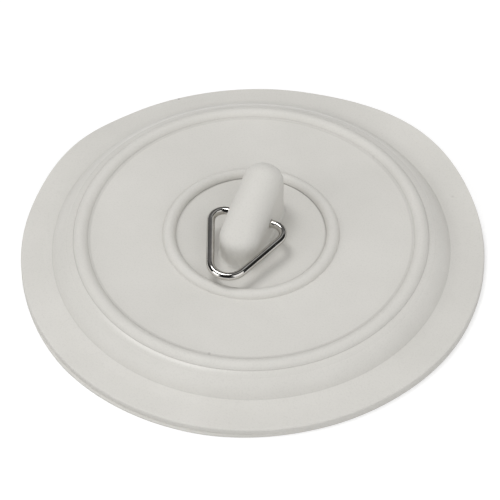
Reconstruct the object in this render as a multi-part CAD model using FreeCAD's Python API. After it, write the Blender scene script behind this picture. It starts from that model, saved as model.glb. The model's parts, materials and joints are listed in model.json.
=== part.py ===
import FreeCAD, Part
import math
import os

# Drain stopper: a flat, flexible rubber disc moulded in one with its pull lug,
# and a bent wire ring that swings in the lug's cross hole.
# Millimetres, +Z up. The origin is the disc's centre on the surface that it seals.
# The cross hole runs along X, the lug's long way is Y, and the ring lies towards -Y.

# Disc: rim, flange and shoulder, from the outer edge inwards
disc_radius = 57.15
lip_height = 0.7
lip_overhang = 0.55
rim_height = 2.2
rim_edge_radius = 0.4
flange_width = 8.7
flange_rise = 1.3
shoulder_width = 5.35
shoulder_rise = 4.0

# Disc: two places where the soft flange has taken a set and curls up. Each is the lift of the rim
# and the bearings, from +X towards +Y, where the lift starts and ends; in between it swells and fades.
curl_lift = 3.9
curl_start_degrees = 14.4
curl_end_degrees = 90.4
small_curl_lift = 1.3
small_curl_start_degrees = 146.4
small_curl_end_degrees = 192.4
curl_step_degrees = 6.0
curl_straightness = 0.5

# Disc: the two half-round rings on its top
rib_width = 3.35
rib_height = 1.2
bead_radius = 19.95
bead_width = 3.2
bead_height = 1.4

# Disc: hollow underside, whose corner is rounded by a share of the hollow's depth
wall = 2.4
seal_width = 3.0
dish_depth = 0.6
hollow_inset = 1.9
hollow_corner_share = 0.75
mouth_step_width = 0.7
mouth_step_height = 0.4
skirt_degrees = 5.0

# Lug: a fin whose top falls towards the front, with the heights of its sharp corners above the plateau.
# The shares of its thickness round its ends and its crown; the share of the wall is how deep it is rooted.
lug_thickness = 10.0
lug_front_reach = 11.7
lug_back_reach = 12.8
lug_front_height = 9.15
lug_back_height = 15.8
lug_foot_radius = 0.5
lug_end_share = 0.48
lug_crown_share = 0.44
lug_root_share = 0.5

# Ring: a triangle of round wire with equal legs; its straight base lies in the lug's cross hole.
# Each leg leans in by the leg angle, and the whole ring dips below the level where it stands.
wire_diameter = 1.9
leg_degrees = 21.5
base_bend_radius = 3.05
apex_bend_radius = 4.3
ring_side_play = 0.88
ring_side_shift = 0.15
ring_end_gap = 1.0
ring_axis_rise = 5.4
ring_dip_degrees = 4.0

# Fits: the running clearance in the cross hole, how far cuts run past a face, and what counts as touching
bore_clearance = 0.05
overrun = 2.0
touching = 0.001

# Places that follow from the sizes above
rim_radius = disc_radius - lip_overhang
flange_inner_radius = disc_radius - flange_width
rib_outer_radius = flange_inner_radius - shoulder_width
hollow_wall_radius = flange_inner_radius - hollow_inset
rib_inner_radius = rib_outer_radius - rib_width
bead_outer_radius = bead_radius + bead_width / 2
bead_inner_radius = bead_radius - bead_width / 2
flange_inner_height = rim_height + flange_rise
plateau_height = flange_inner_height + shoulder_rise
roof_height = plateau_height - wall
axis_height = plateau_height + ring_axis_rise
wire_radius = wire_diameter / 2
bore_radius = wire_radius + bore_clearance


def in_section(radius, height):
    """A point of the disc's half section, which lies in the XZ plane."""
    return FreeCAD.Vector(radius, 0, height)


def on_circle(centre, radius, angle):
    """A point of the half section on a circle; angle 0 points outwards, a quarter turn points up."""
    return centre + in_section(radius * math.cos(angle), radius * math.sin(angle))


def line(first, last):
    """A straight edge."""
    return Part.LineSegment(first, last).toShape()


def arc(centre, radius, first_angle, last_angle):
    """An arc of the half section that runs from one angle to another."""
    first = on_circle(centre, radius, first_angle)
    middle = on_circle(centre, radius, (first_angle + last_angle) / 2)
    last = on_circle(centre, radius, last_angle)
    return Part.Arc(first, middle, last).toShape()


def half_round(outer_radius, inner_radius, crown):
    """The arc over a half-round ring on the plateau, from its outer foot to its inner foot."""
    outer = in_section(outer_radius, plateau_height)
    top = in_section((outer_radius + inner_radius) / 2, plateau_height + crown)
    inner = in_section(inner_radius, plateau_height)
    return Part.Arc(outer, top, inner).toShape()


def curve(first, middle, last):
    """A smooth edge from one point to another that passes halfway through a third."""
    pole = middle * 2 - (first + last) * 0.5
    path = Part.BezierCurve()
    path.setPoles([first, pole, last])
    return path.toShape()


def core_section():
    """The closed half section of the disc inside its flange, with a skirt that roots the flange."""
    up = math.pi / 2

    # Underside: a flat roof, a rounded corner and a short wall
    corner_radius = hollow_corner_share * (roof_height - dish_depth)
    corner_centre = in_section(hollow_wall_radius - corner_radius, roof_height - corner_radius)
    skirt_foot = dish_depth + mouth_step_height

    # Shoulder: an arc that is steep in the flange and level where it meets the rib
    shoulder_radius = (shoulder_width ** 2 + shoulder_rise ** 2) / (2 * shoulder_rise)
    shoulder_centre = in_section(rib_outer_radius, plateau_height - shoulder_radius)
    skirt_angle = math.radians(skirt_degrees)
    skirt_top = on_circle(shoulder_centre, shoulder_radius, skirt_angle)

    return Part.Wire([
        line(in_section(0, roof_height), on_circle(corner_centre, corner_radius, up)),
        arc(corner_centre, corner_radius, up, 0),
        line(on_circle(corner_centre, corner_radius, 0), in_section(hollow_wall_radius, skirt_foot)),
        line(in_section(hollow_wall_radius, skirt_foot), in_section(skirt_top.x, skirt_foot)),
        line(in_section(skirt_top.x, skirt_foot), skirt_top),
        arc(shoulder_centre, shoulder_radius, skirt_angle, up),
        half_round(rib_outer_radius, rib_inner_radius, rib_height),
        line(in_section(rib_inner_radius, plateau_height), in_section(bead_outer_radius, plateau_height)),
        half_round(bead_outer_radius, bead_inner_radius, bead_height),
        line(in_section(bead_inner_radius, plateau_height), in_section(0, plateau_height)),
        line(in_section(0, plateau_height), in_section(0, roof_height)),
    ])


def flange_section(lift):
    """The closed half section of the flange where its rim is lifted; the lift starts at the crease."""
    up = math.pi / 2

    def lifted(radius, height):
        along = min(max((radius - flange_inner_radius) / (rim_radius - flange_inner_radius), 0), 1)
        share = along * (curl_straightness + (1 - curl_straightness) * along)
        return in_section(radius, height + lift * share)

    # Underside: a shallow dish from the step at the hollow's mouth to the flat seal at the rim
    root_radius = hollow_wall_radius + mouth_step_width
    seal_inner_radius = disc_radius - seal_width
    dish_fall = dish_depth / (seal_inner_radius - hollow_wall_radius)
    root_foot = lifted(root_radius, dish_fall * (seal_inner_radius - root_radius))
    dish_radius = (root_radius + seal_inner_radius) / 2
    dish_middle = lifted(dish_radius, dish_fall * (seal_inner_radius - dish_radius))
    seal_inner = lifted(seal_inner_radius, 0)
    seal_outer = lifted(disc_radius, 0)

    # Rim: a thin rounded lip below the parting line, then a wall with a rounded top edge
    lip_centre = lifted(rim_radius, lip_height - lip_overhang)
    edge_centre = in_section(rim_radius - rim_edge_radius, rim_height - rim_edge_radius + lift)
    rim_top = on_circle(edge_centre, rim_edge_radius, up)
    flange_crease = lifted(flange_inner_radius, flange_inner_height)
    middle_radius = (rim_top.x + flange_inner_radius) / 2
    flange_middle = lifted(middle_radius, (rim_height + flange_inner_height) / 2)
    root_top = lifted(root_radius, flange_inner_height)

    return Part.Wire([
        curve(root_foot, dish_middle, seal_inner),
        line(seal_inner, seal_outer),
        line(seal_outer, on_circle(lip_centre, lip_overhang, 0)),
        arc(lip_centre, lip_overhang, 0, up),
        line(on_circle(lip_centre, lip_overhang, up), on_circle(edge_centre, rim_edge_radius, 0)),
        arc(edge_centre, rim_edge_radius, 0, up),
        curve(rim_top, flange_middle, flange_crease),
        line(flange_crease, root_top),
        line(root_top, root_foot),
    ])


def at_bearing(shape, degrees):
    """The shape turned about the disc's axis."""
    turned = shape.copy()
    turned.rotate(FreeCAD.Vector(), FreeCAD.Vector(0, 0, 1), degrees)
    return turned


def flat_sector(start, end):
    """The part of the flange between two bearings where it lies flat."""
    face = at_bearing(Part.Face(flange_section(0)), start)
    return face.revolve(FreeCAD.Vector(), FreeCAD.Vector(0, 0, 1), end - start)


def curled_sector(start, end, lift):
    """The part of the flange between two bearings where its rim swells up and fades again."""
    count = round((end - start) / curl_step_degrees)
    sections = []
    for step in range(count + 1):
        share = step / count
        swell = math.sin(math.pi * share) ** 2
        sections.append(at_bearing(flange_section(lift * swell), start + (end - start) * share))
    return Part.makeLoft(sections, True, False)


def make_disc():
    """The disc: a turned core, and a flange that lies flat but for its two curls."""
    core = Part.Face(core_section()).revolve(FreeCAD.Vector(), FreeCAD.Vector(0, 0, 1), 360)
    return core.fuse([
        curled_sector(curl_start_degrees, curl_end_degrees, curl_lift),
        flat_sector(curl_end_degrees, small_curl_start_degrees),
        curled_sector(small_curl_start_degrees, small_curl_end_degrees, small_curl_lift),
        flat_sector(small_curl_end_degrees, curl_start_degrees + 360),
    ])


def is_upright(edge):
    """Whether an edge runs straight up."""
    run = edge.lastVertex().Point - edge.firstVertex().Point
    return math.hypot(run.x, run.y) < touching


def make_lug():
    """A block with a sloping top, rounded in plan at both ends and then over its whole crown."""
    half = lug_thickness / 2
    root = plateau_height - wall * lug_root_share
    corners = [
        FreeCAD.Vector(-half, -lug_front_reach, root),
        FreeCAD.Vector(-half, lug_back_reach, root),
        FreeCAD.Vector(-half, lug_back_reach, plateau_height + lug_back_height),
        FreeCAD.Vector(-half, -lug_front_reach, plateau_height + lug_front_height),
    ]
    side = Part.Face(Part.makePolygon(corners + corners[:1]))
    block = side.extrude(FreeCAD.Vector(lug_thickness, 0, 0))
    uprights = [edge for edge in block.Edges if is_upright(edge)]
    rounded = block.makeFillet(lug_thickness * lug_end_share, uprights)
    top = max(rounded.Faces, key=lambda face: face.CenterOfMass.z)
    return rounded.makeFillet(lug_thickness * lug_crown_share, top.OuterWire.Edges)


def is_lug_foot(edge):
    """Whether an edge lies on the plateau inside the bead, where only the lug meets it."""
    ends = [vertex.Point for vertex in edge.Vertexes]
    on_plateau = all(abs(end.z - plateau_height) < touching for end in ends)
    inside_bead = all(math.hypot(end.x, end.y) < bead_inner_radius - touching for end in ends)
    return on_plateau and inside_bead


def make_stopper():
    """The rubber moulding: the disc and the lug in one, with the lug's cross hole."""
    moulding = make_disc().fuse(make_lug())
    foot = [edge for edge in moulding.Edges if is_lug_foot(edge)]
    moulding = moulding.makeFillet(lug_foot_radius, foot)
    bore_start = FreeCAD.Vector(-lug_thickness / 2 - overrun, 0, axis_height)
    bore_length = lug_thickness + 2 * overrun
    bore = Part.makeCylinder(bore_radius, bore_length, bore_start, FreeCAD.Vector(1, 0, 0))
    return moulding.cut(bore)


def bend(before, corner, after, radius):
    """The arc that rounds a corner of the ring, as its start, middle and end."""
    back = (before - corner).normalize()
    ahead = (after - corner).normalize()
    half_angle = back.getAngle(ahead) / 2
    tangent = radius / math.tan(half_angle)
    inward = (back + ahead).normalize()
    middle = corner + inward * (radius / math.sin(half_angle) - radius)
    return corner + back * tangent, middle, corner + ahead * tangent


def ring_path():
    """The wire's centre line, from one butt end in the lug round the triangle to the other."""
    leg_angle = math.radians(leg_degrees)
    base_bend_tangent = base_bend_radius / math.tan((math.pi / 2 - leg_angle) / 2)
    half_base = lug_thickness / 2 + ring_side_play + base_bend_tangent
    right = FreeCAD.Vector(half_base, 0, 0)
    left = FreeCAD.Vector(-half_base, 0, 0)
    apex = FreeCAD.Vector(0, -half_base / math.tan(leg_angle), 0)
    bends = [
        bend(left, right, apex, base_bend_radius),
        bend(right, apex, left, apex_bend_radius),
        bend(apex, left, right, base_bend_radius),
    ]
    edges = []
    here = FreeCAD.Vector(ring_end_gap / 2, 0, 0)
    for start, middle, end in bends:
        edges.append(line(here, start))
        edges.append(Part.Arc(start, middle, end).toShape())
        here = end
    edges.append(line(here, FreeCAD.Vector(-ring_end_gap / 2, 0, 0)))
    return Part.Wire(edges)


def make_ring():
    """The bent wire, dipped about the cross hole's axis and set in the lug."""
    along_base = FreeCAD.Vector(1, 0, 0)
    path = ring_path()
    start = path.Edges[0].firstVertex().Point
    section = Part.Wire(Part.makeCircle(wire_radius, start, along_base))
    ring = path.makePipeShell([section], True, False)
    ring.rotate(FreeCAD.Vector(), along_base, ring_dip_degrees)
    ring.translate(FreeCAD.Vector(ring_side_shift, 0, axis_height))
    return ring


pieces = {
    "rubber_stopper": make_stopper(),
    "pull_ring": make_ring(),
}
os.makedirs("parts", exist_ok=True)
for name, shape in pieces.items():
    shape.exportStep("parts/" + name + ".step")
    box = shape.optimalBoundingBox()
    print(name, "solids", len(shape.Solids), "valid", shape.isValid(), "volume", round(shape.Volume, 1))
    print("  size", round(box.XLength, 2), round(box.YLength, 2), round(box.ZLength, 2))
print("cross hole axis at height", round(axis_height, 2))
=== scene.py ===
# %% [markdown]
# # A rubber drain stopper with a wire pull ring
# The object is a flat sink stopper: a soft, off-white rubber disc moulded in one with a pull lug,
# and a bright triangle of bent wire that swings in the lug's cross hole.
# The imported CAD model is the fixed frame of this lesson. It says where every piece is and how large,
# and Blender adds what it leaves out: the give of real rubber, the finish of each surface, and light.

import json
import math

import bmesh
import bpy
import numpy as np
from mathutils import Matrix, Vector


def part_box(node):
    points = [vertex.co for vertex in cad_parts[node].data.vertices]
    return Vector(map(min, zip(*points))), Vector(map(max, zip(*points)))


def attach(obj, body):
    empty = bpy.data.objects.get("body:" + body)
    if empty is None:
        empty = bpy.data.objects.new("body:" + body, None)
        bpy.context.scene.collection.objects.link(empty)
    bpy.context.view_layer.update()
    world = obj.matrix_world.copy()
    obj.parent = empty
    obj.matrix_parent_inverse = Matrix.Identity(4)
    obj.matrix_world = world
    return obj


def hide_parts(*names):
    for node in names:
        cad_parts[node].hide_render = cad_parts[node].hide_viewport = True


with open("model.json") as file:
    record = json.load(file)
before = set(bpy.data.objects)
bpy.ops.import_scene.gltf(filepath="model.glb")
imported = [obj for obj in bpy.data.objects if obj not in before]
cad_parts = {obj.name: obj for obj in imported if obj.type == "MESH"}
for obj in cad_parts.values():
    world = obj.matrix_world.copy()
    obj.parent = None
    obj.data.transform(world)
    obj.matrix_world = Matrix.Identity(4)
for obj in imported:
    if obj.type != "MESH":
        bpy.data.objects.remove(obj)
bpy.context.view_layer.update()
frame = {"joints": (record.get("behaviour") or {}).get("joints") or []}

# %% [markdown]
# ## Driving sizes
# A maker reads a stopper in millimetres, so the shapes are worked out in millimetres and turned into
# metres once, when a mesh is made. The disc's radius and the height of the cross hole come from the frame.
# The disc stays a hair inside the CAD's box, so that rounding never takes it out.
# Directions round the disc are named as the photograph shows them: 0 is to the right, 90 is the far side.

# %% Read the sizes and the directions round the disc
MM = 0.001
INSIDE_BOX = 0.02
CAMERA_AZIMUTH = 22.4
SPOKES = 288

disc_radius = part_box("rubber_stopper")[1].x / MM - INSIDE_BOX
hole_height = frame["joints"][0]["pos_m"][2] / MM
spokes = np.arange(SPOKES) * 2 * np.pi / SPOKES
seen_at = np.degrees(spokes) - CAMERA_AZIMUTH
print("disc radius", round(disc_radius, 2), "mm, cross hole at", round(hole_height, 2), "mm")

# %% [markdown]
# ## The disc's half section
# The disc is a turned form, so one half section describes it. Blender could spin it with a Screw
# modifier, but later steps bend the flange and grow the lug out of the middle, and both need the mesh
# itself. So the section becomes a list of points, and each point will become one loop round the disc.

# %% Helpers for a section: straight runs, arcs, bowed slopes and moulded rings
FILLET_STEPS = 6


def straight(first, last, steps):
    """Points from first to last in equal steps, without the first."""
    shares = np.arange(1, steps + 1) / steps
    return [tuple(np.array(first) * (1 - t) + np.array(last) * t) for t in shares]


def arc(centre, radius, first_angle, last_angle, steps):
    """Points on a circle from one angle to another, in degrees, without the first."""
    angles = np.radians(first_angle + (last_angle - first_angle) * np.arange(1, steps + 1) / steps)
    return [(centre[0] + radius * math.cos(a), centre[1] + radius * math.sin(a)) for a in angles]


def bowed(start, end, flat_slope, hollow, steps):
    """Points of one arc that climbs inwards, hollow or full; its flatter end slopes as given, in degrees."""
    width = start[0] - end[0]
    steep_slope = 2 * math.degrees(math.atan2(end[1] - start[1], width)) - flat_slope
    flat, steep = math.radians(flat_slope), math.radians(steep_slope)
    radius = width / (math.sin(steep) - math.sin(flat))
    if hollow:
        centre = (start[0] + radius * math.sin(flat), start[1] + radius * math.cos(flat))
        return arc(centre, radius, 270 - flat_slope, 270 - steep_slope, steps)
    centre = (end[0] - radius * math.sin(flat), end[1] - radius * math.cos(flat))
    return arc(centre, radius, 90 - steep_slope, 90 - flat_slope, steps)


def half_round(outer, inner, base, crown, fillet, steps):
    """Points over a moulded ring, from its outer foot to its inner foot, which a fillet may soften."""
    half = (outer - inner) / 2
    radius = (half ** 2 + crown ** 2) / (2 * crown)
    spread = math.degrees(math.asin(half / radius))
    centre = ((outer + inner) / 2, base + crown - radius)
    climb = base + fillet - centre[1]
    across = math.sqrt((radius + fillet) ** 2 - climb ** 2)
    leave = 180 - math.degrees(math.atan2(climb, across))
    over = arc(centre, radius, 90 - spread, leave, steps)
    fillet_centre = (centre[0] - across, base + fillet)
    return over + arc(fillet_centre, fillet, leave - 180, -90, FILLET_STEPS if fillet else 0)


# %% Underside: roof of the hollow, its wall, the shallow dish and the flat seal
FLANGE_WIDTH = 8.5
ROOF_HEIGHT = 5.1
ROOF_FAN = 1.0
HOLLOW_INSET = 2.1
HOLLOW_CORNER_SHARE = 0.75
DISH_DEPTH = 0.6
# Width and height of the step at the hollow's mouth
MOUTH_STEP = (0.7, 0.4)
SEAL_WIDTH = 3.0

flange_inner = disc_radius - FLANGE_WIDTH
hollow_radius = flange_inner - HOLLOW_INSET
corner = HOLLOW_CORNER_SHARE * (ROOF_HEIGHT - DISH_DEPTH)
corner_centre = (hollow_radius - corner, ROOF_HEIGHT - corner)
step_radius = hollow_radius + MOUTH_STEP[0]
step_height = DISH_DEPTH + MOUTH_STEP[1]
seal_radius = disc_radius - SEAL_WIDTH
step_foot = DISH_DEPTH * (seal_radius - step_radius) / (seal_radius - hollow_radius)

section = [(ROOF_FAN, ROOF_HEIGHT)]
section += straight(section[-1], (corner_centre[0], ROOF_HEIGHT), steps=12)
section += arc(corner_centre, corner, 90, 0, steps=8)
section += straight(section[-1], (hollow_radius, step_height), steps=2)
section += straight(section[-1], (step_radius, step_height), steps=2)
section += straight(section[-1], (step_radius, step_foot), steps=1)
section += straight(section[-1], (seal_radius, 0.0), steps=8)
section += straight(section[-1], (disc_radius, 0.0), steps=4)
print("underside", len(section), "points out to", round(section[-1][0], 2), "mm")

# %% Rim and flange: a thin lip below the mould's parting line, a low wall, a flange that sweeps up
LIP_HEIGHT = 0.7
LIP_OVERHANG = 0.55
RIM_HEIGHT = 2.2
RIM_EDGE = 0.4
FLANGE_RISE = 1.3
FLANGE_SLOPE = 5
SWEEP_WIDTH = 2.9

rim_radius = disc_radius - LIP_OVERHANG
crease_height = RIM_HEIGHT + FLANGE_RISE
lip_centre = (rim_radius, LIP_HEIGHT - LIP_OVERHANG)
edge_centre = (rim_radius - RIM_EDGE, RIM_HEIGHT - RIM_EDGE)
sweep_foot = flange_inner + SWEEP_WIDTH
sweep_base = RIM_HEIGHT + (edge_centre[0] - sweep_foot) * math.tan(math.radians(FLANGE_SLOPE))

section += [(disc_radius, lip_centre[1])]
section += arc(lip_centre, LIP_OVERHANG, 0, 90, steps=5)
section += straight(section[-1], (rim_radius, edge_centre[1]), steps=3)
section += arc(edge_centre, RIM_EDGE, 0, 90, steps=5)
section += straight(section[-1], (sweep_foot, sweep_base), steps=10)
section += bowed(section[-1], (flange_inner, crease_height), FLANGE_SLOPE, hollow=True, steps=10)
print("rim and flange in to", round(section[-1][0], 2), "mm at", round(section[-1][1], 2), "mm")

# %% Top: the shoulder, the outer rib, the plateau and the bead round the lug
SHOULDER_WIDTH = 5.35
SHOULDER_RISE = 4.0
SHOULDER_SLOPE = 12
RIB_WIDTH = 3.55
RIB_HEIGHT = 1.2
RIB_FILLET = 0.45
# A short run beside the rib's foot, which keeps its painted shade narrow
RIB_CREASE = 0.5
BEAD_OUTER = 21.55
BEAD_INNER = 18.35
BEAD_HEIGHT = 1.4

plateau = crease_height + SHOULDER_RISE
rib_outer = flange_inner - SHOULDER_WIDTH
rib_inner = rib_outer - RIB_WIDTH

section += bowed(section[-1], (rib_outer, plateau), SHOULDER_SLOPE, hollow=False, steps=14)
section += half_round(rib_outer, rib_inner, plateau, RIB_HEIGHT, RIB_FILLET, steps=18)
rib_foot = section[-1][0]
section += straight(section[-1], (rib_foot - RIB_CREASE, plateau), steps=2)
section += straight(section[-1], (BEAD_OUTER, plateau), steps=10)
section += half_round(BEAD_OUTER, BEAD_INNER, plateau, BEAD_HEIGHT, fillet=0.0, steps=20)
print("whole section", len(section), "points, plateau at", round(plateau, 2), "mm")

# %% [markdown]
# ## Moulded corners
# No corner of moulded rubber is knife sharp, and shade falls in the inner ones. A Bevel modifier could
# round them, but it can't tell an inner corner from an outer one. So each corner of the section is
# replaced by a small curve here, and inner corners are marked, for the rubber's finish to paint shade into.

# %% Round the section's corners and mark the inner ones
# How far a corner's curve and its painted shade may reach, and the share of the run beside it that they may
# take
CORNER_REACH = 0.14
CORNER_SHARE = 0.3
SHADE_REACH = 0.4
SHADE_SHARE = 0.45
SHARP_TURN = math.radians(14)
SAME_PLACE = 0.01
# Radius of an inner corner and how dark its painted shade is; the others get a faint painted shade
SHADED_CORNERS = [(flange_inner, 0.14), (rib_outer, 0.36), (BEAD_OUTER, 0.11), (rim_radius, 0.15)]
FAINT_SHADE = 0.06
# The rib's inner foot is a fillet, so its painted shade is marked from a start to an end beside that foot
RIB_FOOT_START = -0.3
RIB_FOOT_END = 0.45
RIB_FOOT_SHADE = 0.14


def shade_at(radius):
    """How dark the painted shade in an inner corner at this radius is."""
    found = [darkening for place, darkening in SHADED_CORNERS if abs(radius - place) < SAME_PLACE]
    return max(found, default=FAINT_SHADE)


def soften(points):
    """Points with each sharp corner cut to a small curve, and how much shade is painted on each point."""
    soft = [points[0]]
    marks = [0.0]
    for before, here, after in zip(points, points[1:], points[2:]):
        before, here, after = map(np.array, (before, here, after))
        back = before - here
        ahead = after - here
        turn = math.atan2(ahead[1], ahead[0]) - math.atan2(-back[1], -back[0])
        turn = (turn + math.pi) % (2 * math.pi) - math.pi
        if abs(turn) < SHARP_TURN:
            soft.append(tuple(here))
            marks.append(0.0)
            continue
        # Only inner corners, where the section turns back, get painted shade
        darkening = shade_at(here[0]) if turn < 0 else 0.0
        lengths = np.array([np.linalg.norm(back), np.linalg.norm(ahead)])
        run = min(CORNER_REACH, CORNER_SHARE * lengths.min())
        far = np.minimum(SHADE_REACH, SHADE_SHARE * lengths)
        start, unshaded_start = (here + back / lengths[0] * reach for reach in (run, far[0]))
        end, unshaded_end = (here + ahead / lengths[1] * reach for reach in (run, far[1]))
        soft += [tuple(p) for p in (unshaded_start, start, (start + 2 * here + end) / 4, end, unshaded_end)]
        marks += [0.0, darkening / 2, darkening, darkening / 2, 0.0]
    return soft + [points[-1]], marks + [0.0]


section, inner_corner = soften(section)
for k, (radius, height) in enumerate(section):
    if height > crease_height and RIB_FOOT_START < radius - rib_foot < RIB_FOOT_END:
        inner_corner[k] = RIB_FOOT_SHADE
print("softened section", len(section), "points,", sum(m > 0 for m in inner_corner), "in inner corners")

# %% [markdown]
# ## The flange's own shape
# The flange is soft and has taken a set: its far edge curls up on both sides, its rim is drawn in or out
# a little, and the thin lip left by the mould is wide in front and nearly gone elsewhere. A Lattice or
# Simple Deform modifier bends a whole mesh. Here only the flange moves, so each bend is a smooth swell
# named by where it is seen.

# %% Swells round the disc
# Size in millimetres, then the middle and the half width of the place where it is seen, in degrees
EDGE_LIFTS = [(3.7, 33, 43), (1.5, 144, 22)]
EDGE_PULLS = [(-0.85, 99, 38), (-0.2, 190, 34), (0.45, 0, 26), (0.4, 330, 30)]
# The lip's share of its full width, swelled in the same way and kept between a least share and 1
LIP_SWELL = (1.5, 239, 52)
LIP_LEAST = 0.08


def swell(size, middle, half_width):
    """A smooth swell round the disc: its size at the middle, 0 beyond the half width."""
    away = (seen_at - middle + 180) % 360 - 180
    return size * np.cos(np.clip(away / half_width, -1, 1) * np.pi / 2) ** 2


edge_lift = sum(swell(*lift) for lift in EDGE_LIFTS)
edge_pull = sum(swell(*pull) for pull in EDGE_PULLS)
lip_share = np.clip(swell(*LIP_SWELL), LIP_LEAST, 1.0)
print("flange lifts up to", round(edge_lift.max(), 2), "mm")

# %% One loop round the disc from each point of the section
# The share of the lift that grows with the square of the way out, so that the curl bends
CURL_BEND = 0.5


def disc_loop(radius, height):
    """The loop of a section point, with the flange's lift and the lip's width as they are round the disc."""
    over_rim = max(0.0, radius - rim_radius)
    along_flange = max(0.0, (radius - over_rim - flange_inner) / (rim_radius - flange_inner))
    radii = radius - over_rim + over_rim * lip_share + edge_pull * along_flange
    heights = height + edge_lift * along_flange * (1 - CURL_BEND + CURL_BEND * along_flange)
    return np.column_stack([radii * np.cos(spokes), radii * np.sin(spokes), heights])


loops = [disc_loop(radius, height) for radius, height in section]
print(len(loops), "loops of", SPOKES, "points make the disc")

# %% Painted shade in the crease inside the bead, darkest on the far side
CREASE_SHADE = 0.45
FAR_CREASE_SHADE = (0.75, 70, 100)
BEAD_FOOT_SHARE = 0.85

crease_shade = CREASE_SHADE + swell(*FAR_CREASE_SHADE)
marks = [np.full(SPOKES, mark) for mark in inner_corner]
marks[-1] = np.clip(BEAD_FOOT_SHARE * crease_shade, 0, 1)
# The values printed are how dark the painted shade in the bead's crease runs
print("crease dust from", round(marks[-1].min(), 2), "to", round(marks[-1].max(), 2))

# %% [markdown]
# ## The lug
# The lug is a thick fin with round ends. Its round crown falls towards the front, where it curves down
# and is rounded tighter. A box with a Bevel modifier comes close, but then the fin only stands on the
# disc. Here the loops go on inwards: the round floor inside the bead turns into the fin's outline, climbs
# its wall and rolls over its crown, so the rubber is one skin with clean edge flow, as on the real moulding.

# %% Plan of the lug: outline points and the directions they face
LUG_HALF = 5.0
LUG_FRONT = 11.7
LUG_BACK = 12.8
LUG_END = 4.8
END_STEP = 2.0


def half_plan(reach):
    """Half of the outline, from the right side over the end to the left side: x, y and facing angle."""
    side = reach - LUG_END
    flat = LUG_HALF - LUG_END
    turns = np.radians(np.arange(0, 90 + END_STEP / 2, END_STEP))
    x = [LUG_HALF, *(flat + LUG_END * np.cos(turns)), *(-flat - LUG_END * np.sin(turns)), -LUG_HALF]
    y = [0.0, *(side + LUG_END * np.sin(turns)), *(side + LUG_END * np.cos(turns)), 0.0]
    facing = [0.0, *turns, *(turns + np.pi / 2), np.pi]
    travel = np.concatenate([[0], np.cumsum(np.hypot(np.diff(x), np.diff(y)))])
    stops = np.arange(SPOKES // 2) * travel[-1] / (SPOKES // 2)
    return [np.interp(stops, travel, values) for values in (x, y, facing)]


back_x, back_y, back_facing = half_plan(LUG_BACK)
front_x, front_y, front_facing = half_plan(LUG_FRONT)
plan = np.column_stack([np.append(back_x, -front_x), np.append(back_y, -front_y)])
facing = np.append(back_facing, front_facing + np.pi)
outward = np.column_stack([np.cos(facing), np.sin(facing)])
print("lug plan", np.ptp(plan, axis=0).round(2), "mm")

# %% Floor inside the bead and the fillet at the lug's foot
LUG_FOOT = 0.5
# Shares of the way from the bead's foot to the lug's
FLOOR_SHARES = [0.018, 0.045, 0.12, 0.25, 0.4, 0.55, 0.7, 0.82, 0.91, 0.97, 1.0]
FOOT_STEPS = 5
BESIDE_BEAD_SHARE = 0.55
# Painted shade in the crease round the lug's foot
FOOT_SHADE = 0.1


def level(points, height):
    """Plan points at a height, or at one height each."""
    return np.column_stack([points, np.broadcast_to(height, len(points))])


bead_foot = BEAD_INNER * np.column_stack([np.cos(spokes), np.sin(spokes)])
lug_foot = plan + LUG_FOOT * outward
floor_marks = [np.zeros(SPOKES) for share in FLOOR_SHARES]
floor_marks[0] = BESIDE_BEAD_SHARE * crease_shade
floor_marks[-1] = np.full(SPOKES, FOOT_SHADE)
loops += [level(bead_foot * (1 - share) + lug_foot * share, plateau) for share in FLOOR_SHARES]
marks += floor_marks
for turn in np.radians(np.arange(1, FOOT_STEPS + 1) * 90 / FOOT_STEPS):
    spread = LUG_FOOT * (1 - math.sin(turn))
    loops.append(level(plan + spread * outward, plateau + LUG_FOOT * (1 - math.cos(turn))))
    marks.append(np.full(SPOKES, FOOT_SHADE * math.cos(turn)))
foot_top = len(loops) - 1
print("lug's foot reached at loop", foot_top)

# %% Wall and crown: a ball rolled round the top edge leaves the crown's round, smaller at the front
LUG_CROWN = 4.4
FRONT_CROWN = 3.0
LUG_FRONT_HEIGHT = 9.15
LUG_BACK_HEIGHT = 15.79
FRONT_DROP = 1.9
WALL_STEPS = 24
CROWN_STEPS = 14

fall = (LUG_BACK_HEIGHT - LUG_FRONT_HEIGHT) / (LUG_BACK + LUG_FRONT)
crown = np.interp(plan[:, 1], [-LUG_FRONT, 0.0], [FRONT_CROWN, LUG_CROWN])
ball_plan = plan - crown[:, None] * outward
ball_front = ball_plan[:, 1].min()
ridge = plateau + LUG_FRONT_HEIGHT + fall * (ball_plan[:, 1] + LUG_FRONT)
to_front = np.clip(ball_plan[:, 1] / ball_front, 0, None)
wall_top = ridge - crown / math.cos(math.atan(fall)) - FRONT_DROP * to_front ** 2
lean = np.arctan(fall - 2 * FRONT_DROP * to_front / ball_front)
top_facing = np.column_stack([np.zeros(SPOKES), -np.sin(lean), np.cos(lean)])
wall_foot = plateau + LUG_FOOT

for step in range(1, WALL_STEPS + 1):
    loops.append(level(plan, wall_foot + (wall_top - wall_foot) * step / WALL_STEPS))
ball = level(ball_plan, wall_top)
sideways = level(outward, 0.0)
opening = np.arccos(np.sum(sideways * top_facing, axis=1))[:, None]
for share in np.arange(1, CROWN_STEPS + 1) / CROWN_STEPS:
    roll = np.sin((1 - share) * opening) * sideways + np.sin(share * opening) * top_facing
    loops.append(ball + crown[:, None] * roll / np.sin(opening))
marks += [np.zeros(SPOKES) for step in range(WALL_STEPS + CROWN_STEPS)]
print("lug is", round(float(loops[-1][:, 2].max()), 2), "mm high at its crown")

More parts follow.
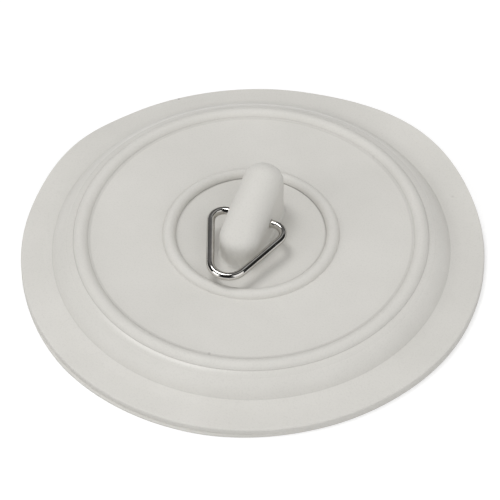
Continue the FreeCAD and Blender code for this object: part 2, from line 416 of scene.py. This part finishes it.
# %% [markdown]
# ## The cross hole
# The wire passes through the lug, and its hole shows at both mouths. A Boolean modifier would cut it but
# leaves long thin faces that shade badly. Instead a block of wall faces is left out on each side, the gap
# is closed by rings that turn from that block's outline into a circle, and a tube joins the two mouths.

# %% Pick the block of wall faces that each mouth of the hole replaces
HOLE_RADIUS = 1.0
BLOCK_REACH = 1.6

wall_heights = wall_foot + (wall_top[0] - wall_foot) * np.arange(WALL_STEPS + 1) / WALL_STEPS
block_rows = foot_top + np.flatnonzero(abs(wall_heights - hole_height) < BLOCK_REACH)
lowest_row, highest_row = int(block_rows[0]), int(block_rows[-1])
on_right_side = plan[:, 0] > LUG_HALF - SAME_PLACE
block_half = int(np.sum(on_right_side & (plan[:, 1] > 0) & (plan[:, 1] < BLOCK_REACH)))
print("hole block", highest_row - lowest_row, "rows by", 2 * block_half, "columns")


# %% Outline of a block as loop and spoke numbers, in order round the hole
def block_outline():
    """(loop, spoke) pairs round the block on the right side, where the middle spoke is 0."""
    columns = list(range(-block_half, block_half + 1))
    rows = list(range(lowest_row, highest_row + 1))
    below = [(rows[0], column) for column in columns]
    after = [(row, columns[-1]) for row in rows[1:]]
    above = [(rows[-1], column) for column in columns[-2::-1]]
    before = [(row, columns[0]) for row in rows[-2:0:-1]]
    return below + after + above + before


def across_lug(spoke):
    """The spoke that mirrors this one on the other side of the lug."""
    return SPOKES // 2 - spoke


right_outline = block_outline()
left_outline = [(loop, across_lug(spoke)) for loop, spoke in right_outline]
print("each mouth is ringed by", len(right_outline), "points")

# %% [markdown]
# ## One skin
# All loops now become one mesh: faces between neighbouring loops, a fan that closes the roof of the
# hollow, a strip along the lug's ridge, and the hole. Plain lists of points and faces with from_pydata
# do this in one go, and a check that every edge has two faces proves that the skin is closed.

# %% Number the points and make the faces between the loops
points = [tuple(point) for loop in loops for point in loop]
shade_marks = [float(mark) for loop in marks for mark in loop]
faces = []


def number(loop, spoke):
    """The place of a loop's point in the list of points."""
    return loop * SPOKES + spoke % SPOKES


def in_block(loop, spoke):
    """Whether the face after this loop and spoke lies where a mouth of the hole is."""
    if not lowest_row <= loop < highest_row:
        return False
    from_middle = (spoke + block_half) % (SPOKES // 2)
    return from_middle < 2 * block_half


for loop in range(len(loops) - 1):
    for spoke in range(SPOKES):
        if not in_block(loop, spoke):
            faces.append((
                number(loop, spoke), number(loop, spoke + 1),
                number(loop + 1, spoke + 1), number(loop + 1, spoke)))
print(len(points), "points and", len(faces), "faces before closing")

# %% Close the roof with a fan and the ridge with a strip
points.append((0.0, 0.0, ROOF_HEIGHT))
shade_marks.append(0.0)
for spoke in range(SPOKES):
    faces.append((number(0, spoke + 1), number(0, spoke), len(points) - 1))

last_loop = len(loops) - 1
for spoke in range(-SPOKES // 4, SPOKES // 4):
    across = (
        number(last_loop, spoke), number(last_loop, spoke + 1),
        number(last_loop, across_lug(spoke + 1)), number(last_loop, across_lug(spoke)))
    faces.append(tuple(dict.fromkeys(across)))
print(len(faces), "faces with the roof and the ridge closed")

# %% Ring each mouth with a low lip of rubber and join the two with a tube
# Radius, how far the rubber stands out of the wall, and how dark the painted shade is, darkest inside the
# hole
MOUTH = [(1.5, 0.0, 0.0), (1.38, 0.05, 0.05), (1.24, 0.13, 0.0),
         (1.1, 0.14, 0.0), (1.02, 0.06, 0.15), (HOLE_RADIUS, -0.3, 0.6)]


def close_band(first, second):
    """Faces between two rings of equal count."""
    for k in range(len(first)):
        after = (k + 1) % len(first)
        faces.append((first[k], first[after], second[after], second[k]))


def ring_mouth(outline, side):
    """Rings of points from a block's outline into the hole, on the right side 1 or the left side -1."""
    ring = [number(*pair) for pair in outline]
    angles = [math.atan2(points[i][2] - hole_height, points[i][1]) for i in ring]
    for radius, stand_out, mouth_shade in MOUTH:
        fresh = list(range(len(points), len(points) + len(ring)))
        for angle in angles:
            x = side * (LUG_HALF + stand_out)
            points.append((x, radius * math.cos(angle), hole_height + radius * math.sin(angle)))
            shade_marks.append(mouth_shade)
        close_band(ring, fresh)
        ring = fresh
    return ring


close_band(ring_mouth(right_outline, 1), ring_mouth(left_outline, -1))
print(len(faces), "faces with the cross hole")


# %% Make the mesh, face it outwards and test that it is closed
def make_piece(name, points, faces):
    """A smooth mesh object from points in millimetres."""
    mesh = bpy.data.meshes.new(name)
    mesh.from_pydata([tuple(c * MM for c in point) for point in points], [], faces)
    shape = bmesh.new()
    shape.from_mesh(mesh)
    bmesh.ops.recalc_face_normals(shape, faces=shape.faces[:])
    loose = sum(not edge.is_manifold for edge in shape.edges) + sum(not v.link_faces for v in shape.verts)
    volume = shape.calc_volume() / MM ** 3
    shape.to_mesh(mesh)
    shape.free()
    mesh.shade_smooth()
    piece = bpy.data.objects.new(name, mesh)
    bpy.context.scene.collection.objects.link(piece)
    print(name, len(mesh.polygons), "faces,", loose, "open edges or lost points,", round(volume), "mm3")
    return piece


# Points of the left-out blocks belong to no face, so only points in use are kept
used = sorted({i for face in faces for i in face})
place = {old: new for new, old in enumerate(used)}
stopper = make_piece(
    "moulded_stopper",
    [points[i] for i in used],
    [tuple(place[i] for i in face) for face in faces])
# Each point's mark of painted shade, for the rubber's finish to read
inner_corners = stopper.data.attributes.new("inner_corner", "FLOAT", "POINT")
inner_corners.data.foreach_set("value", [shade_marks[i] for i in used])

# %% Mark the shoulder, which the mould left smoother than the rest
# Stops from the shoulder's top, 0, to its foot, 1, and how smooth the rubber is at each
POLISH_STOPS = [0.0, 0.04, 0.3, 0.5, 1.0]
POLISH_LEVELS = [0.0, 1.0, 1.0, 0.5, 0.0]


def polish(point):
    """How smooth the rubber is at a point: most on the upper half of the shoulder."""
    down_shoulder = (math.hypot(point[0], point[1]) - rib_outer) / SHOULDER_WIDTH
    if point[2] < crease_height:
        return 0.0
    return float(np.interp(down_shoulder, POLISH_STOPS, POLISH_LEVELS))


smoothness = [polish(points[i]) for i in used]
polished = stopper.data.attributes.new("polished", "FLOAT", "POINT")
polished.data.foreach_set("value", smoothness)
print("polished points:", sum(share > 0 for share in smoothness))

# %% [markdown]
# ## The pull ring
# The ring is a piece of round wire, bent to a triangle with its two ends meeting inside the lug. A curve
# with a round bevel makes such a wire quickly. A swept mesh is used here because a mirror finish shows
# every flat, and the sweep gives even faces on the bends and lets the cut ends be rounded off.

# %% Line of the wire: straight runs joined by round bends
WIRE_RADIUS = 0.95
LEG_ANGLE = math.radians(21.75)
BASE_BEND = 3.05
APEX_BEND = 4.5
SIDE_PLAY = 1.06
END_GAP = 1.0
BASE_STEPS = 28
APEX_STEPS = 40
RUN_STEPS = 16

half_base = LUG_HALF + SIDE_PLAY + BASE_BEND / math.tan((math.pi / 2 - LEG_ANGLE) / 2)
right_corner = np.array([half_base, 0.0])
left_corner = np.array([-half_base, 0.0])
apex = np.array([0.0, -half_base / math.tan(LEG_ANGLE)])


def bend(before, corner, after, radius, steps):
    """Points of the arc that rounds a corner of the wire's line."""
    back = (before - corner) / np.linalg.norm(before - corner)
    ahead = (after - corner) / np.linalg.norm(after - corner)
    half_angle = math.acos(back @ ahead) / 2
    inward = (back + ahead) / np.linalg.norm(back + ahead)
    centre = corner + inward * radius / math.sin(half_angle)
    start = corner + back * radius / math.tan(half_angle) - centre
    end = corner + ahead * radius / math.tan(half_angle) - centre
    sweep = math.atan2(start[0] * end[1] - start[1] * end[0], start @ end)
    turns = sweep * np.arange(steps + 1) / steps
    return [centre + (math.cos(t) * start[0] - math.sin(t) * start[1],
                      math.sin(t) * start[0] + math.cos(t) * start[1]) for t in turns]


wire_line = [np.array([END_GAP / 2, 0.0])]
for arc_points in (
        bend(left_corner, right_corner, apex, BASE_BEND, BASE_STEPS),
        bend(right_corner, apex, left_corner, APEX_BEND, APEX_STEPS),
        bend(apex, left_corner, right_corner, BASE_BEND, BASE_STEPS)):
    wire_line += straight(wire_line[-1], arc_points[0], RUN_STEPS)
    wire_line += arc_points[1:]
wire_line += straight(wire_line[-1], (-END_GAP / 2, 0.0), RUN_STEPS)
wire_line = np.array(wire_line)
print("wire is", round(float(np.hypot(*np.diff(wire_line, axis=0).T).sum()), 1), "mm long")

# %% Sweep a circle along the line and round off the two cut ends
WIRE_SIDES = 32
END_ROUND = 0.25
END_TURNS = np.radians([90, 60, 30, 0])

tangents = np.gradient(wire_line, axis=0)
tangents /= np.linalg.norm(tangents, axis=1)[:, None]
around = np.arange(WIRE_SIDES) * 2 * np.pi / WIRE_SIDES


def wire_circle(centre, tangent, radius):
    """A circle square to the wire, in the ring's own plane before it is dipped."""
    sideways = np.array([tangent[1], -tangent[0], 0.0])
    upright = np.array([0.0, 0.0, 1.0])
    turns = np.outer(np.cos(around), sideways) + np.outer(np.sin(around), upright)
    return np.array([*centre, 0.0]) + radius * turns


def cut_end(end, tangent, inwards):
    """Circles from the face of a cut end back to the full wire."""
    return [wire_circle(
        end + inwards * END_ROUND * (1 - math.sin(turn)), tangent,
        WIRE_RADIUS - END_ROUND * (1 - math.cos(turn))) for turn in END_TURNS]


circles = cut_end(wire_line[0], tangents[0], tangents[0])
circles += [wire_circle(c, t, WIRE_RADIUS) for c, t in zip(wire_line[1:-1], tangents[1:-1])]
circles += cut_end(wire_line[-1], tangents[-1], -tangents[-1])[::-1]
print(len(circles), "circles of", WIRE_SIDES, "points make the wire")

# %% Join the circles, cap the ends, dip the ring and set it in the lug, a little to one side
DIP = math.radians(4.0)
SIDE_SHIFT = 0.15

wire_points = np.concatenate(circles)
dipped_y = wire_points[:, 1] * math.cos(DIP) - wire_points[:, 2] * math.sin(DIP)
dipped_z = wire_points[:, 1] * math.sin(DIP) + wire_points[:, 2] * math.cos(DIP)
wire_points = np.column_stack([wire_points[:, 0] + SIDE_SHIFT, dipped_y, dipped_z + hole_height])

rings = np.arange(len(wire_points)).reshape(-1, WIRE_SIDES)
ahead = np.roll(rings, -1, axis=1)
wire_faces = np.stack([rings[:-1], ahead[:-1], ahead[1:], rings[1:]], axis=-1).reshape(-1, 4).tolist()
wire_faces += [rings[0][::-1].tolist(), rings[-1].tolist()]
pull_ring = make_piece("bent_wire_ring", wire_points.tolist(), wire_faces)

# %% [markdown]
# ## The rubber's finish
# The rubber is warm off-white and matt, with a fine grain from the mould, a slightly uneven tone, a
# little painted shade in the inner corners and three small specks of dirt. A painted picture would need
# unwrapping.
# Here nodes work it all out from the place on the object, so it has the right scale everywhere.


# %% Small helpers for nodes
def node_adder(tree):
    """A function that adds a node to a tree, with its settings, and its inputs in order or by name."""

    def add(kind, settings=None, in_order=(), **by_name):
        node = tree.nodes.new("ShaderNode" + kind)
        for key, value in (settings or {}).items():
            setattr(node, key, value)
        wanted = [(node.inputs[k], value) for k, value in enumerate(in_order)]
        wanted += [(node.inputs[key.replace("_", " ")], value) for key, value in by_name.items()]
        for socket, value in wanted:
            if isinstance(value, bpy.types.NodeSocket):
                tree.links.new(value, socket)
            else:
                socket.default_value = value
        return node

    return add


def new_finish(name):
    """A material with its tree, its shader and the function that adds nodes."""
    material = bpy.data.materials.new(name)
    material.use_nodes = True
    tree = material.node_tree
    return material, tree, tree.nodes["Principled BSDF"], node_adder(tree)


def two_tones(add, value, dark_stop, light_stop):
    """A colour that runs with a value between two stops, each a position and a colour."""
    ramp = add("ValToRGB", Fac=value)
    for stop, (position, colour) in zip(ramp.color_ramp.elements, (dark_stop, light_stop)):
        stop.position = position
        stop.color = colour
    return ramp.outputs["Color"]


def larger(add, first, second):
    """The larger of two values."""
    return add("Math", {"operation": "MAXIMUM"}, (first, second)).outputs[0]


# %% Rubber: uneven tone and fine grain
CLOUD_SCALE = 70.0
CLOUD_DARK = (0.3, (0.625, 0.612, 0.577, 1))
CLOUD_LIGHT = (0.7, (0.655, 0.641, 0.606, 1))
GRAIN_SCALE = 2400.0
GRAIN_DARK = (0.34, (0.7, 0.7, 0.7, 1))
GRAIN_LIGHT = (0.5, (1, 1, 1, 1))
GRAIN_SHARE = 0.16

rubber, tree, shader, add = new_finish("matt_rubber")
where = add("TexCoord").outputs["Object"]
cloudy = add("TexNoise", Vector=where, Scale=CLOUD_SCALE, Detail=3.0).outputs["Fac"]
grain = add("TexNoise", Vector=where, Scale=GRAIN_SCALE, Detail=3.0, Roughness=0.6).outputs["Fac"]
tone = two_tones(add, cloudy, CLOUD_DARK, CLOUD_LIGHT)
grain_tone = two_tones(add, grain, GRAIN_DARK, GRAIN_LIGHT)
grained = add(
    "Mix", {"data_type": "RGBA", "blend_type": "MULTIPLY"},
    Factor=GRAIN_SHARE, A=tone, B=grain_tone).outputs["Result"]
print("rubber tone made from", len(tree.nodes), "nodes")

# %% Rubber: painted shade in the corners and specks of dirt
# One dark colour serves for the painted shade in the corners and for the specks of dirt
SHADE_AND_SPECK_COLOUR = (0.2, 0.19, 0.175, 1)
SPECK_HEART = 0.3
# Place in millimetres, radius and darkness
SPECKS = [
    ((40.7, 33.3, 3.3), 0.45, 0.22),
    ((-36.9, 41.2, 2.3), 0.4, 0.55),
    ((5.2, -39.0, 7.5), 0.6, 0.4)]

# Painted shade from the corner marks, joined by the real specks of dirt
darkening = add("Attribute", {"attribute_name": "inner_corner"}).outputs["Fac"]
for speck_at, radius, darkness in SPECKS:
    away = add("VectorMath", {"operation": "DISTANCE"}, (where, Vector(speck_at) * MM)).outputs["Value"]
    speck = add(
        "MapRange", Value=away, From_Min=SPECK_HEART * radius * MM, From_Max=radius * MM,
        To_Min=darkness, To_Max=0.0).outputs["Result"]
    darkening = larger(add, darkening, speck)
shaded_and_specked = add("Mix", {"data_type": "RGBA"}, Factor=darkening, A=grained, B=SHADE_AND_SPECK_COLOUR).outputs["Result"]
tree.links.new(shaded_and_specked, shader.inputs["Base Color"])
print("rubber colour made from", len(tree.nodes), "nodes")

# %% Rubber: dull sheen, smoother on the shoulder, and moulded grain
MATT_LEAST = 0.52
MATT_MOST = 0.64
POLISHED_ROUGHNESS = 0.24
RUBBER_SPECULAR = 0.3
GRAIN_DEPTH = 0.06 * MM

smooth = add("Attribute", {"attribute_name": "polished"}).outputs["Fac"]
matt = add("MapRange", Value=grain, To_Min=MATT_LEAST, To_Max=MATT_MOST).outputs["Result"]
sheen = add("Mix", Factor=smooth, A=matt, B=POLISHED_ROUGHNESS).outputs["Result"]
tree.links.new(sheen, shader.inputs["Roughness"])
shader.inputs["Specular IOR Level"].default_value = RUBBER_SPECULAR
skin_bump = add("Bump", Strength=0.2, Distance=GRAIN_DEPTH, Height=grain)
tree.links.new(skin_bump.outputs["Normal"], shader.inputs["Normal"])
stopper.data.materials.append(rubber)
print("rubber finish has", len(tree.nodes), "nodes")

# %% [markdown]
# ## The wire's finish
# The wire is drawn steel with bright nickel plate: a near mirror, a touch warm and darker at its grazing
# edges, with slight dulling in patches and faint drawn ripples that break long reflections. A metal's
# look is mostly what it reflects, and a picture of streaks would stay put when the ring swings. So the
# finish stays simple, and the light decides where the wire is black and where it is white.

# %% Nickel: warm mirror with faint dull patches
PATCH_SCALE = 420.0
PATCH_DARK = (0.35, (0.64, 0.62, 0.585, 1))
PATCH_LIGHT = (0.65, (0.75, 0.735, 0.71, 1))
DULL_LEAST = 0.03
DULL_MOST = 0.12
GRAZING_TINT = (0.3, 0.29, 0.28, 1)
RIPPLE_SCALE = 1500.0
RIPPLE_DEPTH = 0.04 * MM

nickel, tree, shader, add = new_finish("bright_nickel")
where = add("TexCoord").outputs["Object"]
patches = add("TexNoise", Vector=where, Scale=PATCH_SCALE, Detail=4.0).outputs["Fac"]
ripples = add("TexNoise", Vector=where, Scale=RIPPLE_SCALE, Detail=2.0).outputs["Fac"]
tree.links.new(two_tones(add, patches, PATCH_DARK, PATCH_LIGHT), shader.inputs["Base Color"])
dull = add("MapRange", Value=patches, To_Min=DULL_LEAST, To_Max=DULL_MOST).outputs["Result"]
tree.links.new(dull, shader.inputs["Roughness"])
shader.inputs["Metallic"].default_value = 1.0
shader.inputs["Specular Tint"].default_value = GRAZING_TINT
wire_bump = add("Bump", Strength=0.1, Distance=RIPPLE_DEPTH, Height=ripples)
tree.links.new(wire_bump.outputs["Normal"], shader.inputs["Normal"])
pull_ring.data.materials.append(nickel)
print("nickel finish has", len(tree.nodes), "nodes")

# %% [markdown]
# ## Hanging the pieces on the frame
# The rubber stands in for the CAD's stopper and the wire for the CAD's ring. Each piece is parented to an
# empty for its body, keeping its place, and the CAD solid it stands in for is hidden.

# %% Parent each piece to its body and hide the solid it stands in for
for piece, body, node, finish_slot in (
        (stopper, "stopper", "rubber_stopper", "rubber"),
        (pull_ring, "ring", "pull_ring", "plated_wire")):
    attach(piece, body)
    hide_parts(node)
    print(piece.name, "stands for", node, "on body", body)

# %% [markdown]
# ## Camera
# The lens is long and looks down at a steep angle from a little to the right of the lug's front. A camera
# can be set by eye against a background picture. Here its numbers come from matching the disc's own
# circles, which is the surest way to find a camera from one picture.

# %% Place the camera at the photograph's angle
IMAGE_SIDE = 500
FOCAL_PIXELS = 2358.14
CAMERA_DISTANCE = 579.58 * MM
CAMERA_ELEVATION = math.radians(48.059)
CAMERA_ROLL = math.radians(-0.583)
CENTRE_COLUMN = 251.271
CENTRE_ROW = 253.323

azimuth = math.radians(CAMERA_AZIMUTH)
to_camera = Vector((
    math.sin(azimuth) * math.cos(CAMERA_ELEVATION),
    -math.cos(azimuth) * math.cos(CAMERA_ELEVATION),
    math.sin(CAMERA_ELEVATION)))
lens = bpy.data.cameras.new("photo_camera")
camera = bpy.data.objects.new("photo_camera", lens)
bpy.context.scene.collection.objects.link(camera)
camera.location = to_camera * CAMERA_DISTANCE
camera.rotation_mode = "QUATERNION"
camera.rotation_quaternion = (
    (-to_camera).to_track_quat("-Z", "Y") @ Matrix.Rotation(CAMERA_ROLL, 3, "Z").to_quaternion())
lens.sensor_width = 36.0
lens.lens = FOCAL_PIXELS * lens.sensor_width / IMAGE_SIDE
lens.shift_x = -(CENTRE_COLUMN - IMAGE_SIDE / 2) / IMAGE_SIDE
lens.shift_y = (CENTRE_ROW - IMAGE_SIDE / 2) / IMAGE_SIDE
lens.clip_start = 0.01
bpy.context.scene.camera = camera
print("lens", round(lens.lens, 1), "mm at", round(CAMERA_DISTANCE, 3), "m")

# %% [markdown]
# ## Floor and light
# The stopper lies on a white floor in a small photo studio: one soft lamp almost overhead, one low on the
# left, one in front on the right, and pale walls, a little brighter on the near side, that fill the
# shadows. One lamp alone would leave hard shadows, and an even tent none at all. The mix keeps the ring's
# shadow and rounds the moulded rings.

# %% White floor that keeps the shadow
FLOOR_RADIUS = 3.0
FLOOR_SIDES = 96
FLOOR_DROP = 0.05
FLOOR_COLOUR = (0.66, 0.66, 0.66, 1)
FLOOR_GLOW = 0.42

floor_mesh = bpy.data.meshes.new("floor")
floor_angles = np.arange(FLOOR_SIDES) * 2 * np.pi / FLOOR_SIDES
floor_mesh.from_pydata(
    [(FLOOR_RADIUS * math.cos(a), FLOOR_RADIUS * math.sin(a), 0.0) for a in floor_angles],
    [], [list(range(FLOOR_SIDES))])
floor = bpy.data.objects.new("floor", floor_mesh)
bpy.context.scene.collection.objects.link(floor)
floor.location.z = -FLOOR_DROP * MM

white, tree, shader, add = new_finish("white_floor")
shader.inputs["Base Color"].default_value = FLOOR_COLOUR
shader.inputs["Roughness"].default_value = 0.9
ray = add("LightPath").outputs
seen = larger(add, larger(add, ray["Is Camera Ray"], ray["Is Glossy Ray"]), ray["Is Transmission Ray"])
shader.inputs["Emission Color"].default_value = (1, 1, 1, 1)
glow = add("MapRange", Value=seen, To_Max=FLOOR_GLOW).outputs["Result"]
tree.links.new(glow, shader.inputs["Emission Strength"])
floor_mesh.materials.append(white)
print("floor", FLOOR_RADIUS, "m in radius")

# %% Three soft lamps
LAMP_DISTANCE = 1.0
# Name, bearing and height in degrees, size in metres and watts
LAMPS = [
    ("top_lamp", 133, 69, (0.3, 0.38), 3.1),
    ("left_lamp", 206, 25, (0.5, 0.65), 2.16),
    ("front_lamp", 312, 36, (0.75, 0.95), 2.56)]


def towards(bearing, height):
    """A direction from the object: bearing as seen in the picture, height above the floor, in degrees."""
    turn = math.radians(bearing) + azimuth
    rise = math.radians(height)
    return Vector((math.cos(rise) * math.cos(turn), math.cos(rise) * math.sin(turn), math.sin(rise)))


for name, bearing, height, size, watts in LAMPS:
    to_lamp = towards(bearing, height)
    light = bpy.data.lights.new(name, "AREA")
    light.shape = "RECTANGLE"
    light.size, light.size_y = size
    light.energy = watts
    lamp = bpy.data.objects.new(name, light)
    bpy.context.scene.collection.objects.link(lamp)
    lamp.location = to_lamp * LAMP_DISTANCE
    lamp.rotation_mode = "QUATERNION"
    lamp.rotation_quaternion = to_lamp.to_track_quat("Z", "Y")
    print(name, watts, "W at", bearing, "degrees round and", height, "degrees up")

# %% The room: pale walls light the rubber, the wire mirrors a dim room with a white foot
WALL_LIGHT = 0.532
NEAR_WALL_GAIN = 0.11
DIM_ROOM = 0.02
WHITE_FOOT = 1.0
# How far up the white foot is full and where it ends, as the sine of the height
FOOT_FULL = 0.01
FOOT_END = 0.05
# Pale places that the wire mirrors: bearing, height, the cosines where each starts and is full, brightness
PALE_PLACES = [(98, 35, 0.65, 0.85, 0.12), (62, 66, 0.955, 0.99, 0.42), (43, 39, 0.975, 0.995, 0.38)]

room = bpy.data.worlds.new("studio_room")
bpy.context.scene.world = room
room.use_nodes = True
tree = room.node_tree
add = node_adder(tree)
direction = add("TexCoord").outputs["Generated"]
upwards = add("SeparateXYZ", in_order=[direction]).outputs["Z"]


def faded(value, starts, ends, low, high):
    """A value turned into a smooth step between two levels."""
    return add(
        "MapRange", {"interpolation_type": "SMOOTHSTEP"}, Value=value,
        From_Min=starts, From_Max=ends, To_Min=low, To_Max=high).outputs["Result"]


def nearness(bearing, height):
    """The cosine between where a ray goes and a direction in the room."""
    return add(
        "VectorMath", {"operation": "DOT_PRODUCT"},
        (direction, towards(bearing, height))).outputs["Value"]


mirrored = faded(upwards, FOOT_FULL, FOOT_END, WHITE_FOOT, DIM_ROOM)
for bearing, height, starts, ends, brightness in PALE_PLACES:
    mirrored = larger(add, mirrored, faded(nearness(bearing, height), starts, ends, 0.0, brightness))
wall_light = faded(nearness(270, 0), -1.0, 1.0, WALL_LIGHT - NEAR_WALL_GAIN, WALL_LIGHT + NEAR_WALL_GAIN)
print("room has", len(tree.nodes), "nodes")

# %% Give each kind of ray its view of the room
BACKDROP = 1.0

ray = add("LightPath").outputs
mirror_ray = larger(add, ray["Is Glossy Ray"], ray["Is Transmission Ray"])
walls_or_mirrored = add("Mix", Factor=mirror_ray, A=wall_light, B=mirrored).outputs["Result"]
with_backdrop = add("Mix", Factor=ray["Is Camera Ray"], A=walls_or_mirrored, B=BACKDROP).outputs["Result"]
walls = tree.nodes["Background"]
walls.inputs["Color"].default_value = (1, 1, 1, 1)
tree.links.new(with_backdrop, walls.inputs["Strength"])
bpy.context.scene.view_settings.view_transform = "Standard"
print("room lit, walls at", WALL_LIGHT)
